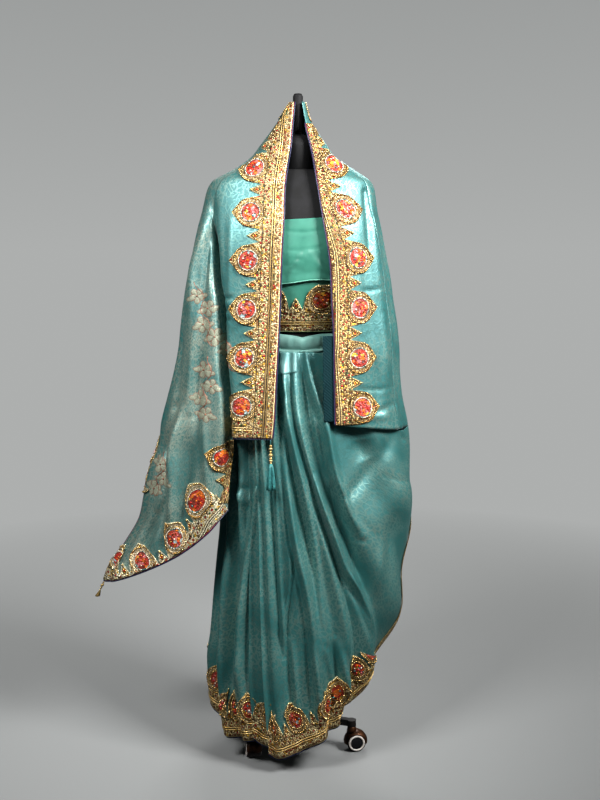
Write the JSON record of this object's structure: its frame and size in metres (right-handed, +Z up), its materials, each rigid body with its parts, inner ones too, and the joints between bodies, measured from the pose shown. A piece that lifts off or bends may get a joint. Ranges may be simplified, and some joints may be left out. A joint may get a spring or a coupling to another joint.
{
  "type": "silk saree on a dress form",
  "caption": "Pleated silk saree with embroidered borders, draped like a cape over a limbless dress form on a castered stand.",
  "frame": {"origin": "on the floor, under the middle of the whole object's box", "axes": "+Z up along the stand's pole, -Y the front, where the cape opens, +X the viewer's right"},
  "size_m": [0.779, 0.384, 1.62],
  "materials": {
    "form_cover": "matt black cover",
    "stand_metal": "dark brown, satin",
    "caster_hood": "bronze paint",
    "caster_wheel": "polished black with a pale ring",
    "bandeau_satin": "plain satin",
    "waist_satin": "plain satin",
    "silk": "silk jacquard with a sheen",
    "gold_embroidery": "raised metal-thread work",
    "wrong_side": "dull wrong side",
    "piping": "satin cord",
    "tassel_thread": "twisted silk thread",
    "tassel_bead": "polished"
  },
  "bodies": {
    "root": {"form_torso": "form_cover", "form_neck": "form_cover", "stand_pole": "stand_metal", "stand_hub": "stand_metal", "leg_left": "stand_metal", "leg_right": "stand_metal", "leg_back": "stand_metal", "bandeau_upper": "bandeau_satin", "bandeau_lower": "bandeau_satin", "waist_roll": "waist_satin", "skirt_wrap": "silk", "pleat_under": "silk", "pleat_front": "silk", "hip_cowl": "silk", "left_panel": "silk", "right_panel": "silk", "pallu_sleeve": "silk", "back_drape": "silk", "bandeau_border": "gold_embroidery", "border_left": "gold_embroidery", "border_right": "gold_embroidery", "border_pallu_end": "gold_embroidery", "border_back_edge": "gold_embroidery", "border_neck": "gold_embroidery", "hem_border_wrap": "gold_embroidery", "hem_border_under": "gold_embroidery", "hem_border_front": "gold_embroidery", "hem_border_cowl": "gold_embroidery", "edge_turnback": "wrong_side", "piping_left": "piping", "piping_right": "piping", "tassel_front": "tassel_thread", "tassel_corner": "tassel_bead"},
    "caster_left": {"hood_left": "caster_hood"},
    "roller_left": {"wheel_left": "caster_wheel"},
    "caster_right": {"hood_right": "caster_hood"},
    "roller_right": {"wheel_right": "caster_wheel"},
    "caster_back": {"hood_back": "caster_hood"},
    "roller_back": {"wheel_back": "caster_wheel"}
  },
  "joints": [
    {"name": "swivel_left", "type": "hinge", "parent": "root", "child": "caster_left", "pos_m": [-0.00721, -0.09517, 0.06], "axis": [0, 0, 1], "continuous": true},
    {"name": "roll_left", "type": "hinge", "parent": "caster_left", "child": "roller_left", "pos_m": [-0.00894, -0.08532, 0.02371], "axis": [-0.9848, -0.1736, 0], "continuous": true},
    {"name": "swivel_right", "type": "hinge", "parent": "root", "child": "caster_right", "pos_m": [0.23842, -0.05186, 0.06], "axis": [0, 0, 1], "continuous": true},
    {"name": "roll_right", "type": "hinge", "parent": "caster_right", "child": "roller_right", "pos_m": [0.24832, -0.05047, 0.02371], "axis": [-0.1392, 0.9903, 0], "continuous": true},
    {"name": "swivel_back", "type": "hinge", "parent": "root", "child": "caster_back", "pos_m": [0.0781, 0.1392, 0.06], "axis": [0, 0, 1], "continuous": true},
    {"name": "roll_back", "type": "hinge", "parent": "caster_back", "child": "roller_back", "pos_m": [0.0687, 0.13578, 0.02371], "axis": [0.342, -0.9397, 0], "continuous": true}
  ]
}
